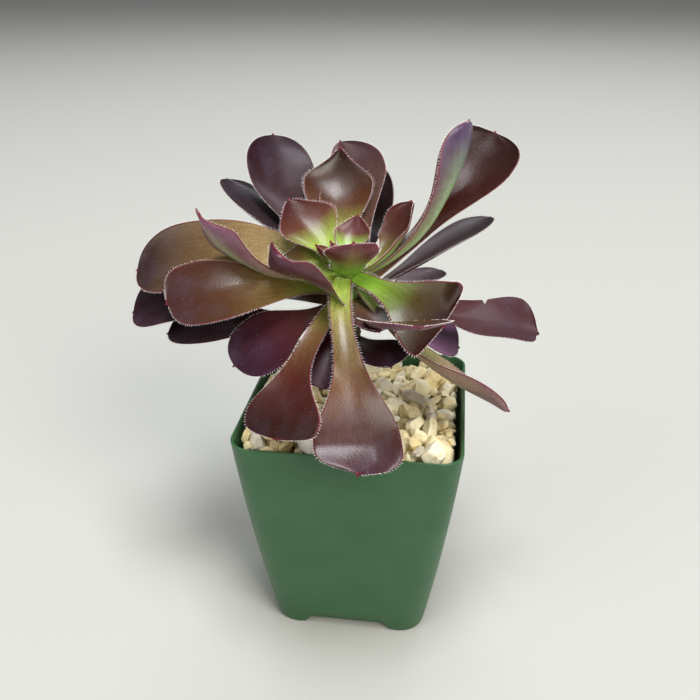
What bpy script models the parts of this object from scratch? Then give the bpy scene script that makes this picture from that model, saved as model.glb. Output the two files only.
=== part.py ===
"""Potted aeonium: a rosette of spoon-shaped leaves on a short bare stem, in a square nursery pot.

Metres, +Z up. The pot stands on z = 0 with its front towards -Y.
All sizes below are in millimetres and are scaled to metres when a body is made.
"""
import math

import bmesh
import bpy
import numpy as np

for old in list(bpy.data.objects):
    bpy.data.objects.remove(old, do_unlink=True)

# ---------------------------------------------------------------------------
# Driving dimensions (mm)
# ---------------------------------------------------------------------------
MM = 0.001
GAP = 0.3

# Where the pot's axis stands: the leaves reach further to the left than to the right,
# and the origin is under the middle of the whole plant's box.
POT_X = 11.0
POT_Y = -2.5

# Square nursery pot, nominal 3.5 inch.
POT_WIDTH = 89.0
POT_HEIGHT = 96.0
BASE_RATIO = 0.7237
TAPER_BOW = 0.29
RIM_CORNER = 9.2
BASE_CORNER = 10.6
WALL = 1.1
FOOT_HEIGHT = 3.4
FOOT_PAD = 15.0
FLOOR_THICK = 1.4
DRAIN_RADIUS = 3.5
DRAIN_OFFSET = 13.0

# Filling.
SOIL_TOP = 80.0
GRAVEL_TOP = 89.0
GRAVEL_RELIEF = 2.6
GRAVEL_STONE = 9.0

# Stem: a short trunk leaning slightly to the left.
STEM_FOOT = 62.0
LEAN_FROM = 90.0
STEM_TIP = (-5.0, -1.0, 155.0)
STEM_BASE_RADIUS = 5.6
STEM_CROWN_RADIUS = 4.0
CROWN_START = 128.0

# Leaves: blade thickness along the middle, near the stem and near the tip.
LEAF_THICK_BASE = 1.9
LEAF_THICK_TIP = 1.1
LEAF_ROWS = 13
LEAF_COLUMNS = 6


def stem_axis(z):
    """Point on the stem's centre line at height z."""
    share = max(0.0, (z - LEAN_FROM) / (STEM_TIP[2] - LEAN_FROM))
    return np.array([STEM_TIP[0] * share, STEM_TIP[1] * share, z])


def ease(t):
    t = min(1.0, max(0.0, t))
    return t * t * (3.0 - 2.0 * t)


def unit(v):
    return v / np.linalg.norm(v)


def direction(heading, rise):
    h = math.radians(heading)
    e = math.radians(rise)
    return np.array([math.cos(e) * math.cos(h), math.cos(e) * math.sin(h), math.sin(e)])


# ---------------------------------------------------------------------------
# The leaf: a spoon whose middle line is a bowed curve from the stem to the tip
# ---------------------------------------------------------------------------
LEAF_SHAPE = {
    "side": 0.0,        # how far the leaf starts off to its left, degrees
    "side_end": 0.0,    # how far the tip turns to its right, degrees
    "lift": 12.0,       # start angle above the straight line to the tip
    "droop": 12.0,      # end angle below that line
    "roll": 0.0,        # turn about its own length at the base, + lifts the left margin
    "twist": 0.0,       # further roll by the tip
    "cup": 20.0,        # margins turned up, near the stem
    "cup_tip": 20.0,    # margins turned up, near the tip
    "curl_left": 0.0,   # extra curl of the left margin over the outer part
    "curl_right": 0.0,
    "curl_at": 0.5,
    "neck": 0.22,       # stalk width over blade width
    "neck_at": 0.10,
    "fill": 1.3,        # how late the stalk opens into the blade
    "belly": 0.74,      # where the blade is widest
    "blunt": 2.3,       # roundness of the end
    "ogee": 0.0,        # how much the end draws in to a point
    "shift": 0.0,       # blade wider on the left (+) or right (-)
    "off_stem": 4.3,    # from the stem's axis to the leaf's foot
    "wave": 0.0,        # height of the margin's waves, mm
    "waves": 2.5,
    "thick": 1.0,
}


def leaf_half_width(u, length, width, s):
    point = 1.6
    belly = s["belly"]
    tip = 1.0 - point / length
    if u < belly:
        t = max(0.0, (u - s["neck_at"]) / (belly - s["neck_at"]))
        grown = (1.0 - math.cos(math.pi * t ** s["fill"])) / 2.0
        part = s["neck"] + (1.0 - s["neck"]) * grown
        if u < s["neck_at"]:
            part = s["neck"] * (1.0 - 0.2 * (s["neck_at"] - u) / s["neck_at"])
    else:
        t = min(1.0, (u - belly) / (tip - belly))
        round_end = max(0.0, 1.0 - t ** s["blunt"]) ** 0.5
        drawn_end = (1.0 + math.cos(math.pi * t)) / 2.0
        part = round_end * (1.0 - s["ogee"]) + drawn_end * s["ogee"]
    mucro = 0.95 * max(0.0, min(1.0, (1.0 - u) * length / (point + 1.0))) + 0.15
    return max(part * width / 2.0, mucro)


def leaf_line(s, steps=120):
    """Middle line of the leaf: points, tangents, share of length and length."""
    axis = stem_axis(s["height"])
    start = axis + direction(s["heading"] + s["side"], 0.0) * s["off_stem"]
    end = axis + direction(s["heading"], 0.0) * s["reach"]
    end[2] = s["tip"]
    chord = end - start
    span = np.linalg.norm(chord)
    rise = math.degrees(math.asin(chord[2] / span))
    dip = max(0.0, -math.sin(math.radians(rise + s["lift"])))
    start = start + direction(s["heading"] + s["side"], 0.0) * LEAF_THICK_BASE * dip
    pull = 0.36 * span
    first = start + direction(s["heading"] + s["side"], rise + s["lift"]) * pull
    second = end - direction(s["heading"] - s["side_end"], rise - s["droop"]) * pull
    t = np.linspace(0.0, 1.0, steps + 1)[:, None]
    points = (1 - t) ** 3 * start + 3 * (1 - t) ** 2 * t * first
    points = points + 3 * (1 - t) * t ** 2 * second + t ** 3 * end
    tangent = (1 - t) ** 2 * (first - start) + 2 * (1 - t) * t * (second - first) + t ** 2 * (end - second)
    run = np.concatenate([[0.0], np.cumsum(np.linalg.norm(np.diff(points, axis=0), axis=1))])
    return points, tangent, run / run[-1], run[-1]


def leaf_surfaces(leaf, rows, columns):
    """Upper and lower skins of the leaf as grids of points (rows from stem to tip)."""
    s = dict(LEAF_SHAPE)
    s.update(leaf)
    points, tangent, share, length = leaf_line(s)
    h = math.radians(s["heading"])
    upper = np.zeros((rows + 1, columns + 1, 3))
    lower = np.zeros((rows + 1, columns + 1, 3))
    for i in range(rows + 1):
        u = i / rows
        u = min(1.0, u + 0.12 * math.sin(math.pi * u) * u)
        p = np.array([np.interp(u, share, points[:, k]) for k in range(3)])
        t = unit(np.array([np.interp(u, share, tangent[:, k]) for k in range(3)]))
        level = np.array([-math.sin(h), math.cos(h), 0.0])
        level = unit(level - t * (level @ t))
        up = np.cross(t, level)
        roll = math.radians(s["roll"] + s["twist"] * ease(u))
        left = level * math.cos(roll) + up * math.sin(roll)
        normal = up * math.cos(roll) - level * math.sin(roll)
        half = leaf_half_width(u, length, s["width"], s)
        cup = s["cup"] + (s["cup_tip"] - s["cup"]) * ease((u - 0.3) / 0.6)
        cup *= 0.2 + 0.8 * ease(u / 0.3)
        thick = (LEAF_THICK_BASE + (LEAF_THICK_TIP - LEAF_THICK_BASE) * ease(u)) * s["thick"]
        thick = min(thick, 0.35 * half + 0.5)
        for j in range(columns + 1):
            v = -1.0 + 2.0 * j / columns
            side = s["curl_left"] if v > 0 else s["curl_right"]
            bend = math.radians(cup + side * ease((u - s["curl_at"]) / 0.3))
            reach = half * (1.0 + s["shift"] * (1 if v > 0 else -1) * ease((u - 0.3) / 0.4))
            if abs(bend) < 1e-4:
                across = reach * v
                raised = 0.0
            else:
                across = math.copysign(reach * math.sin(bend * abs(v)) / bend, v)
                raised = reach * (1.0 - math.cos(bend * abs(v))) / bend
            ripple = math.sin(2 * math.pi * s["waves"] * u + (0.0 if v > 0 else 1.3))
            raised += s["wave"] * ripple * v * v * ease((u - 0.3) / 0.3)
            upper[i, j] = p + left * across + normal * raised
            lower[i, j] = upper[i, j] - normal * thick * (1.0 - v * v)
    return upper, lower


# Leaves: heading (0 = +X, 90 = +Y), height of the foot on the stem, reach and height of the tip, width.
LEAVES = {
    "leaf_front_centre": dict(
        heading=281, height=148.2, reach=59, tip=100, width=33, lift=32, droop=25, side=-6, side_end=18,
        cup=25, cup_tip=-5, belly=0.86, neck=0.26, fill=2, blunt=2.8),
    "leaf_front_left": dict(
        heading=251, height=142, reach=52, tip=105, width=34, lift=25, droop=20, side_end=-10, cup=25,
        cup_tip=0, belly=0.87, fill=2.9, blunt=4, neck=0.24),
    "leaf_left": dict(
        heading=192, height=142.3, reach=70, tip=140.3, width=31, lift=8, droop=20, roll=-31.8,
        belly=0.64, neck=0.2, fill=1.9, shift=0.12),
    "leaf_left_back": dict(
        heading=174, height=147.5, reach=89, tip=144.5, width=34, lift=4, droop=15, roll=-36, belly=0.66,
        neck=0.2, fill=1, blunt=3.4),
    "leaf_left_horned": dict(
        heading=184.5, height=149.5, reach=56, tip=176, width=24, lift=-34, droop=-45, roll=5, twist=50,
        belly=0.7, ogee=1, fill=1.6),
    "leaf_left_small": dict(
        heading=212, height=151.7, reach=29, tip=168, width=30, lift=-35, droop=-60, roll=-5, twist=50,
        cup=30, belly=0.3, ogee=0.9, shift=-0.3, neck=0.5),
    "leaf_left_dark_high": dict(
        heading=178, height=139.2, reach=91, tip=128, width=29, lift=18, droop=18, roll=-28, blunt=3.4),
    "leaf_left_dark_low": dict(
        heading=185, height=131.5, reach=74, tip=124, width=26, lift=2, droop=10, roll=-15),
    "leaf_front_left_dark": dict(
        heading=211, height=136.4, reach=48, tip=120.5, width=31, lift=8, droop=20, roll=-18, belly=0.66,
        blunt=2.7),
    "leaf_back_inner": dict(
        heading=100, height=150.4, reach=62, tip=186, width=31, side=8, side_end=15, lift=-12, droop=-30,
        cup=35, cup_tip=25, neck=0.24, belly=0.76, ogee=0.75, blunt=2.6),
    "leaf_back_second": dict(
        heading=100, height=146.5, reach=78, tip=185.5, width=26, side=-26, lift=-6, droop=-28, roll=-15,
        cup=35, cup_tip=35, shift=-0.55),
    "leaf_back_dark": dict(
        heading=88, height=140.5, reach=77, tip=175.5, width=20, lift=-12, droop=-32),
    "leaf_back_left_dark": dict(
        heading=122.5, height=145.7, reach=78, tip=190, width=30, side=6, side_end=12, lift=-2,
        droop=-24, blunt=3),
    "leaf_back_left_low": dict(
        heading=141, height=143.4, reach=76, tip=174, width=24, lift=5, droop=-5, roll=15, blunt=3),
    "leaf_inner_left": dict(
        heading=148, height=152.6, reach=29, tip=175.5, width=26, lift=10, droop=-10, roll=-20, cup=35,
        cup_tip=30, belly=0.6, neck=0.28, ogee=0.5, off_stem=3.7),
    "leaf_bud_back": dict(
        heading=80, height=153.7, reach=16.5, tip=170, width=15.3, lift=10, droop=-10, cup=45,
        cup_tip=35, off_stem=2.8, belly=0.55, neck=0.4, ogee=0.5),
    "leaf_bud_front": dict(
        heading=292, height=153.6, reach=12.5, tip=168.3, width=21, lift=-20, droop=-50, cup=35,
        off_stem=3.3, belly=0.56, neck=0.65, ogee=0, blunt=3.2, cup_tip=25, roll=-6),
    "leaf_bud_left": dict(
        heading=188, height=153.6, reach=11, tip=163, width=8, lift=10, droop=0, cup=40, cup_tip=40,
        off_stem=2.8, belly=0.55, neck=0.5, ogee=0.3),
    "leaf_bud_small": dict(
        heading=150, height=154, reach=7, tip=163, width=5, lift=10, droop=0, cup=40, cup_tip=30,
        off_stem=2.2, belly=0.55, neck=0.5, ogee=0.3),
    "leaf_inner_right": dict(
        heading=51, height=152.3, reach=36, tip=173, width=15, lift=-25, droop=-20, cup=50, cup_tip=45,
        off_stem=3.9, side=-30, side_end=-15, roll=-15),
    "leaf_right_tall_spoon": dict(
        heading=48, height=144.2, reach=82, tip=194.5, width=34, lift=-10, droop=-20, side=-6, cup=30,
        cup_tip=35, belly=0.84, blunt=3.4, shift=0, fill=2.1, twist=28),
    "leaf_right_tall_narrow": dict(
        heading=38, height=149.6, reach=55, tip=204, width=24, lift=-42, droop=-40, roll=-20, twist=-45,
        cup=35, cup_tip=40, belly=0.78, blunt=3, fill=1.2),
    "leaf_right_dark": dict(
        heading=47, height=140, reach=81, tip=158, width=20, lift=0, droop=0, roll=-8),
    "leaf_right_small_dark": dict(
        heading=51, height=135.5, reach=56, tip=138, width=16, lift=0, droop=0),
    "leaf_right_front": dict(
        heading=329, height=151, reach=46, tip=141.5, width=30, lift=5, droop=5, roll=30, cup=25,
        cup_tip=10, belly=0.88, blunt=6, shift=0, fill=1.4, twist=20),
    "leaf_right_far": dict(
        heading=4, height=142, reach=77, tip=128, width=31, lift=0, droop=0, belly=0.84, blunt=4,
        shift=0.15, roll=8),
    "leaf_right_low": dict(
        heading=8, height=137, reach=45, tip=119, width=27, lift=10, droop=10, roll=15),
    "leaf_front_right_low": dict(
        heading=308, height=125.5, reach=30, tip=123.5, width=22, lift=10, droop=30),
    "leaf_front_right_brown": dict(
        heading=298, height=138.3, reach=16, tip=139.3, width=10, lift=0, droop=0, roll=0),
    "leaf_front_level": dict(
        heading=293.5, height=132, reach=77, tip=163, width=28.6, lift=0, droop=0, side=10, roll=-7,
        cup=20, cup_tip=14, belly=0.78, fill=2),
    "leaf_front_right_folded": dict(
        heading=337, height=147.7, reach=70, tip=111, width=24, side=-10, lift=-12, droop=-14, twist=-42,
        cup=25, cup_tip=32),
    "leaf_front_low": dict(
        heading=262, height=136.5, reach=36, tip=119, width=24, lift=20, droop=0),
}


# ---------------------------------------------------------------------------
# Making bodies
# ---------------------------------------------------------------------------
pot_axis = bpy.data.objects.new("pot_axis", None)
pot_axis.location = (POT_X * MM, POT_Y * MM, 0.0)
bpy.context.scene.collection.objects.link(pot_axis)


def material(name, color, roughness):
    found = bpy.data.materials.get(name)
    if found:
        return found
    made = bpy.data.materials.new(name)
    made.use_nodes = True
    shader = made.node_tree.nodes["Principled BSDF"]
    shader.inputs["Base Color"].default_value = (*color, 1.0)
    shader.inputs["Roughness"].default_value = roughness
    shader.inputs["Metallic"].default_value = 0.0
    made.diffuse_color = (*color, 1.0)
    return made


def body(name, points, faces, look, sharp=40.0):
    """One closed body from points in mm about the pot's axis, hung on the pot's axis."""
    mesh = bpy.data.meshes.new(name)
    mesh.from_pydata([(x * MM, y * MM, z * MM) for x, y, z in points], [], faces)
    bm = bmesh.new()
    bm.from_mesh(mesh)
    bmesh.ops.recalc_face_normals(bm, faces=bm.faces)
    bm.to_mesh(mesh)
    bm.free()
    mesh.materials.append(look)
    mesh.shade_smooth()
    mesh.set_sharp_from_angle(angle=math.radians(sharp))
    made = bpy.data.objects.new(name, mesh)
    made.parent = pot_axis
    bpy.context.scene.collection.objects.link(made)
    return made


def rings(loops, close_start=True, close_end=True):
    """Points and faces of a body swept through loops that all have the same number of points."""
    count = len(loops[0])
    points = [p for loop in loops for p in loop]
    faces = []
    for k in range(len(loops) - 1):
        for i in range(count):
            j = (i + 1) % count
            faces.append((k * count + i, k * count + j, (k + 1) * count + j, (k + 1) * count + i))
    if close_start:
        faces.append(tuple(reversed(range(count))))
    if close_end:
        last = (len(loops) - 1) * count
        faces.append(tuple(last + i for i in range(count)))
    return points, faces


def circle(x, y, radius, z, count):
    turns = [2 * math.pi * i / count for i in range(count)]
    return [(x + radius * math.cos(a), y + radius * math.sin(a), z) for a in turns]


# ---------------------------------------------------------------------------
# Pot: moulded square shell, straighter near the rim, on four corner feet
# ---------------------------------------------------------------------------
def pot_half_width(z):
    t = (POT_HEIGHT - z) / POT_HEIGHT
    return POT_WIDTH / 2.0 * (1.0 + (BASE_RATIO - 1.0) * (t + TAPER_BOW * t * (t - 1.0)))


def pot_corner(z):
    return RIM_CORNER + (BASE_CORNER - RIM_CORNER) * (POT_HEIGHT - z) / POT_HEIGHT


def square_loop(half, corner, z, arc=6):
    """Rounded square, anticlockwise from the middle of the +X side, with points along each side."""
    loop = []
    for quarter in range(4):
        turn = math.radians(90.0 * quarter)
        flat = []
        for step in range(4):
            flat.append((half, (half - corner) * (step / 4.0)))
        for step in range(arc + 1):
            a = math.radians(90.0 * step / arc)
            flat.append((half - corner + corner * math.cos(a), half - corner + corner * math.sin(a)))
        for step in range(3, 0, -1):
            flat.append(((half - corner) * (step / 4.0), half))
        for x, y in flat:
            across = x * math.cos(turn) - y * math.sin(turn)
            along = x * math.sin(turn) + y * math.cos(turn)
            loop.append((across, along, z))
    return loop


def make_pot():
    plastic = material("green_pot_plastic", (0.045, 0.13, 0.052), 0.42)
    outside = [0.0, 10.0, 24.0, 40.0, 56.0, 72.0, 86.0, POT_HEIGHT]
    floor_top = FOOT_HEIGHT + FLOOR_THICK
    loops = [square_loop(pot_half_width(z), pot_corner(z), z) for z in outside]
    inside = [POT_HEIGHT, 86.0, 72.0, 56.0, 40.0, 24.0, 10.0, floor_top]
    for z in inside:
        loops.append(square_loop(pot_half_width(z) - WALL, pot_corner(z) - WALL, z))
    points, faces = rings(loops)
    pot = body("pot", points, faces, plastic)
    cutters = []
    span = POT_WIDTH
    half_gap = pot_half_width(0.0) - FOOT_PAD
    for name, turn in (("cut_under_front", 0.0), ("cut_under_side", 90.0)):
        profile = [(-half_gap - 1.2, -1.0), (half_gap + 1.2, -1.0), (half_gap, 1.6)]
        profile += [(half_gap - 1.6, FOOT_HEIGHT), (-half_gap + 1.6, FOOT_HEIGHT), (-half_gap, 1.6)]
        loop_a = []
        loop_b = []
        for along, z in profile:
            c = math.cos(math.radians(turn))
            s = math.sin(math.radians(turn))
            loop_a.append((along * c + span * s, along * s - span * c, z))
            loop_b.append((along * c - span * s, along * s + span * c, z))
        cut_points, cut_faces = rings([loop_a, loop_b])
        cutters.append(body(name, cut_points, cut_faces, plastic))
    for k, (sx, sy) in enumerate(((1, 1), (-1, 1), (-1, -1), (1, -1))):
        loops = [circle(sx * DRAIN_OFFSET, sy * DRAIN_OFFSET, DRAIN_RADIUS, z, 20)
                 for z in (FOOT_HEIGHT - 1.0, floor_top + 1.0)]
        cut_points, cut_faces = rings(loops)
        cutters.append(body("cut_drain_%d" % (k + 1), cut_points, cut_faces, plastic))
    for cutter in cutters:
        cutter.hide_render = True
        cutter.display_type = "WIRE"
        cut = pot.modifiers.new(cutter.name, "BOOLEAN")
        cut.operation = "DIFFERENCE"
        cut.solver = "EXACT"
        cut.object = cutter
    return pot


# ---------------------------------------------------------------------------
# Filling: potting soil below, a top dressing of crushed stone above
# ---------------------------------------------------------------------------
def stem_radius(z):
    swell = 1.0 - ease((z - 70.0) / (CROWN_START - 70.0))
    radius = STEM_CROWN_RADIUS + (STEM_BASE_RADIUS - STEM_CROWN_RADIUS) * swell
    return radius


def make_soil():
    earth = material("potting_soil", (0.032, 0.022, 0.015), 0.95)
    loops = []
    for z in (FOOT_HEIGHT + FLOOR_THICK + GAP, 10.0, 24.0, 40.0, 56.0, 72.0, SOIL_TOP):
        inset = WALL + GAP
        loops.append(square_loop(pot_half_width(z) - inset, pot_corner(z) - inset, z))
    count = len(loops[0])
    hole = STEM_BASE_RADIUS + GAP
    for z in (SOIL_TOP, STEM_FOOT - GAP):
        loops.append(circle(0.0, 0.0, hole, z, count))
    points, faces = rings(loops)
    return body("potting_soil", points, faces, earth)


def stone_field(x, y):
    """Height of the dressing: overlapping crushed stones, each a tilted flat-topped lump."""
    best = -1.0e9
    cell_x = math.floor(x / GRAVEL_STONE)
    cell_y = math.floor(y / GRAVEL_STONE)
    for i in range(cell_x - 1, cell_x + 2):
        for j in range(cell_y - 1, cell_y + 2):
            seed = math.sin(i * 12.9898 + j * 78.233) * 43758.5453
            a = seed - math.floor(seed)
            seed = math.sin(i * 39.346 + j * 11.135) * 24634.6345
            b = seed - math.floor(seed)
            cx = (i + 0.2 + 0.6 * a) * GRAVEL_STONE
            cy = (j + 0.2 + 0.6 * b) * GRAVEL_STONE
            away = math.hypot(x - cx, y - cy) / GRAVEL_STONE
            tilt = ((x - cx) * (a - 0.5) + (y - cy) * (b - 0.5)) * 0.35
            lump = min(1.0, 1.7 - 1.9 * away) * GRAVEL_RELIEF + tilt + (a + b - 1.0) * 1.4
            best = max(best, lump)
    return max(-GRAVEL_RELIEF, best)


def make_gravel():
    stone = material("crushed_stone", (0.62, 0.53, 0.36), 0.8)
    bottom = SOIL_TOP + GAP
    inset = WALL + GAP
    hole = STEM_BASE_RADIUS + GAP
    low = square_loop(pot_half_width(bottom) - inset, pot_corner(bottom) - inset, bottom)
    count = len(low)
    edge_z = GRAVEL_TOP - 1.8
    edge = square_loop(pot_half_width(edge_z) - inset - 0.2, pot_corner(edge_z) - inset, edge_z)
    inner = circle(0.0, 0.0, hole, GRAVEL_TOP, count)
    loops = [circle(0.0, 0.0, hole, bottom, count), low, edge]
    steps = 12
    for k in range(1, steps):
        share = k / steps
        loop = []
        for (ax, ay, _), (bx, by, _) in zip(edge, inner):
            x = ax + (bx - ax) * share
            y = ay + (by - ay) * share
            loop.append((x, y, GRAVEL_TOP - 1.0 + stone_field(x, y)))
        loops.append(loop)
    loops.append(inner)
    points, faces = rings(loops, False, False)
    last = (len(loops) - 1) * count
    for i in range(count):
        j = (i + 1) % count
        faces.append((last + i, last + j, j, i))
    return body("gravel_top_dressing", points, faces, stone, 25.0)


# ---------------------------------------------------------------------------
# Plant
# ---------------------------------------------------------------------------
def make_stem():
    bark = material("stem_skin", (0.20, 0.15, 0.075), 0.6)
    loops = []
    heights = [STEM_FOOT, 74.0, 84.0, 90.0]
    z = 93.0
    while z < CROWN_START:
        heights.append(z)
        z += 2.5
    heights += [CROWN_START, 134.0, 140.0, 146.0, 150.0]
    for k, z in enumerate(heights):
        scar = 0.25 if 90.0 < z < CROWN_START and k % 2 else 0.0
        c = stem_axis(z)
        loops.append(circle(c[0], c[1], stem_radius(z) + scar, z, 24))
    for z, share in ((152.0, 0.85), (153.4, 0.6), (154.0, 0.3)):
        c = stem_axis(z)
        loops.append(circle(c[0], c[1], STEM_CROWN_RADIUS * share, z, 24))
    points, faces = rings(loops)
    return body("stem", points, faces, bark)


def make_leaf(name, leaf):
    upper, lower = leaf_surfaces(leaf, LEAF_ROWS, LEAF_COLUMNS)
    loops = []
    for i in range(LEAF_ROWS + 1):
        loop = [tuple(p) for p in upper[i]]
        loop += [tuple(p) for p in lower[i][-2:0:-1]]
        loops.append(loop)
    points, faces = rings(loops)
    dark = 1.0 - ease((leaf["height"] - 134.0) / 18.0)
    color = tuple(a + (b - a) * dark for a, b in zip((0.13, 0.10, 0.045), (0.035, 0.012, 0.018)))
    return body(name, points, faces, material(name + "_skin", color, 0.38), 80.0)


make_pot()
make_soil()
make_gravel()
make_stem()
for leaf_name, leaf_form in LEAVES.items():
    make_leaf(leaf_name, leaf_form)
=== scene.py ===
import math

import bmesh
import bpy
import numpy as np
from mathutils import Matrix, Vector, noise


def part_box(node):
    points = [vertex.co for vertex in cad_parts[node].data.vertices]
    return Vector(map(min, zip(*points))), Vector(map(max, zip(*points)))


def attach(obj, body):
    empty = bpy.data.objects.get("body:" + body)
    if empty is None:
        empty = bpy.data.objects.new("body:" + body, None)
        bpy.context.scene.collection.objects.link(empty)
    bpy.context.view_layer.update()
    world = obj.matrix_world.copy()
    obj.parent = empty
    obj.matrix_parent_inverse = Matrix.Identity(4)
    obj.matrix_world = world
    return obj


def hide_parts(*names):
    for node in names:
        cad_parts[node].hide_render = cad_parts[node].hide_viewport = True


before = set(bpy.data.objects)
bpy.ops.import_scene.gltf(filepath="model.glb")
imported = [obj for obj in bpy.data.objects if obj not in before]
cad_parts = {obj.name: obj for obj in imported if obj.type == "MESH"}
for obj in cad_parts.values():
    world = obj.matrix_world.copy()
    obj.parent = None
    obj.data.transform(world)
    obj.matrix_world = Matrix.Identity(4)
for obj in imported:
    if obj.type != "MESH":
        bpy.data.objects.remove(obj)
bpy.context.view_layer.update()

# ---------------------------------------------------------------------------
# Pot. A square nursery pot of polypropylene, injection moulded in one piece: thin tapered walls that
# straighten towards the rim, rounded corners, and a bottom raised between four corner feet.
# ---------------------------------------------------------------------------
MM = 0.001
pot_low, pot_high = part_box("pot")
AXIS = np.array(((pot_low.x + pot_high.x) / 2, (pot_low.y + pot_high.y) / 2, 0.0))
POT_WIDTH = (pot_high.x - pot_low.x) / MM
POT_HEIGHT = pot_high.z / MM
BASE_RATIO = 0.7237
TAPER_BOW = 0.29
RIM_CORNER = 9.2
BASE_CORNER = 10.6
WALL = 1.1
FOOT_HEIGHT = 3.4
FOOT_PAD = 15.0
FOOT_SLOPE = 4.0
FLOOR_TOP = 4.8
EDGE_ROUND = 0.9
WALL_DRAW = 0.1
DRAIN_RADIUS = 3.5
DRAIN_OFFSET = 13.0
POT_CREASE = 50


def linear(code):
    """An sRGB hex colour as linear RGBA."""
    parts = [int(code[i:i + 2], 16) / 255 for i in (0, 2, 4)]
    return (*[c / 12.92 if c <= 0.04045 else ((c + 0.055) / 1.055) ** 2.4 for c in parts], 1.0)


def ease(t):
    t = np.clip(t, 0.0, 1.0)
    return t * t * (3.0 - 2.0 * t)


def add(tree, kind, inputs=None, **settings):
    """Adds a node: its settings, and a value, a socket or a node's first output for each input."""
    made = tree.nodes.new("ShaderNode" + kind)
    for name, value in settings.items():
        setattr(made, name, value)
    for socket, value in (inputs or {}).items():
        if isinstance(value, bpy.types.Node):
            value = value.outputs[0]
        if isinstance(value, bpy.types.NodeSocket):
            tree.links.new(value, made.inputs[socket])
        else:
            made.inputs[socket].default_value = value
    return made


def new_material(name, **values):
    """A material with one Principled shader whose plain values are set on its own sockets."""
    made = bpy.data.materials.new(name)
    made.use_nodes = True
    tree = made.node_tree
    shader = tree.nodes["Principled BSDF"]
    for socket, value in values.items():
        shader.inputs[socket.replace("_", " ")].default_value = value
    return made, tree, shader


def wire(tree, shader, **nodes):
    """Links each node's first output to the shader's socket of that name."""
    for socket, node in nodes.items():
        tree.links.new(node.outputs[0], shader.inputs[socket.replace("_", " ")])


def put(name, data):
    made = bpy.data.objects.new(name, data)
    bpy.context.scene.collection.objects.link(made)
    return made


def piece(name, points, faces, look, replaced=(), sharp=None):
    """A mesh of points in mm about the pot's axis, in the shared frame, riding on the plant's body."""
    mesh = bpy.data.meshes.new(name)
    mesh.from_pydata((np.asarray(points, float) * MM + AXIS).tolist(), [], faces)
    mesh.materials.append(look)
    mesh.shade_smooth()
    if sharp is not None:
        mesh.set_sharp_from_angle(angle=math.radians(sharp))
    made = put(name, mesh)
    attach(made, "root")
    if replaced:
        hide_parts(*replaced)
    return made


def tube_faces(rows, around):
    """Faces of a skin through rows of points, closed by one face at each end."""
    faces = []
    for k in range(rows - 1):
        for i in range(around):
            j = (i + 1) % around
            a, b = k * around, (k + 1) * around
            faces.append((a + i, a + j, b + j, b + i))
    faces.append(tuple(reversed(range(around))))
    faces.append(tuple((rows - 1) * around + i for i in range(around)))
    return faces


def pot_half_width(z):
    t = (POT_HEIGHT - z) / POT_HEIGHT
    return POT_WIDTH / 2 * (1.0 + (BASE_RATIO - 1.0) * (t + TAPER_BOW * t * (t - 1.0)))


def pot_corner(z):
    return RIM_CORNER + (BASE_CORNER - RIM_CORNER) * (POT_HEIGHT - z) / POT_HEIGHT


def rounded_square(half, corner, side=14, arc=12):
    """Points round a square with rounded corners, anticlockwise, as an array of x and y."""
    quarter = [(half, (half - corner) * (2.0 * i / side - 1.0)) for i in range(side)]
    turn = [math.pi / 2 * i / arc for i in range(arc)]
    quarter += [(half - corner + corner * math.cos(a), half - corner + corner * math.sin(a)) for a in turn]
    quarter = np.array(quarter)
    x, y = quarter[:, 0], quarter[:, 1]
    return np.concatenate([np.stack(q, 1) for q in ((x, y), (-y, x), (-x, -y), (y, -x))])


def outline_at(xy, z):
    """An outline's points at one height, or each at its own."""
    return np.column_stack([xy, np.full(len(xy), z)])


def under_side(xy):
    """Height of the bottom's underside: down to the ground at the feet, raised between them."""
    inner = pot_half_width(0.0) - FOOT_PAD
    foot = ease((np.abs(xy) - inner + FOOT_SLOPE / 2) / FOOT_SLOPE)
    return FOOT_HEIGHT * (1.0 - foot[:, 0] * foot[:, 1])


rows = []
base_half = pot_half_width(0.0)
for share in (0.01, 0.1, 0.2, 0.3, 0.38, 0.44, 0.48, 0.52, 0.56, 0.6, 0.64, 0.7, 0.78, 0.86, 0.93):
    half = (base_half - EDGE_ROUND) * share
    xy = rounded_square(half, max(BASE_CORNER * share, half * 0.3))
    rows.append(outline_at(xy, under_side(xy)))
ground = under_side(rounded_square(base_half, BASE_CORNER))
for angle in (0, 22, 45, 68, 90):
    a = math.radians(angle)
    inset = EDGE_ROUND * (1.0 - math.sin(a))
    xy = rounded_square(base_half - inset, BASE_CORNER - inset)
    rows.append(outline_at(xy, ground + EDGE_ROUND * (1.0 - math.cos(a))))
for level in (0.04, 0.1, 0.18, 0.27, 0.36, 0.45, 0.54, 0.63, 0.72, 0.8, 0.87, 0.93, 0.97, 0.992):
    z = level * POT_HEIGHT
    xy = rounded_square(pot_half_width(z), pot_corner(z))
    rows.append(outline_at(xy, np.maximum(z, ground + EDGE_ROUND + z * WALL_DRAW)))
for angle in (35, 70, 90, 110, 145, 180):
    a = math.radians(angle)
    inset = WALL / 2 * (1.0 - math.cos(a))
    z = POT_HEIGHT - WALL / 2 * (1.0 - math.sin(a))
    xy = rounded_square(pot_half_width(z) - inset, pot_corner(z) - inset)
    rows.append(outline_at(xy, z))
for level in (0.97, 0.93, 0.87, 0.8, 0.72, 0.6, 0.45, 0.3, 0.15, FLOOR_TOP / POT_HEIGHT):
    z = level * POT_HEIGHT
    xy = rounded_square(pot_half_width(z) - WALL, pot_corner(z) - WALL)
    rows.append(outline_at(xy, z))
xy = rounded_square(base_half * 0.01, base_half * 0.003)
rows.append(outline_at(xy, FLOOR_TOP))

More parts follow.
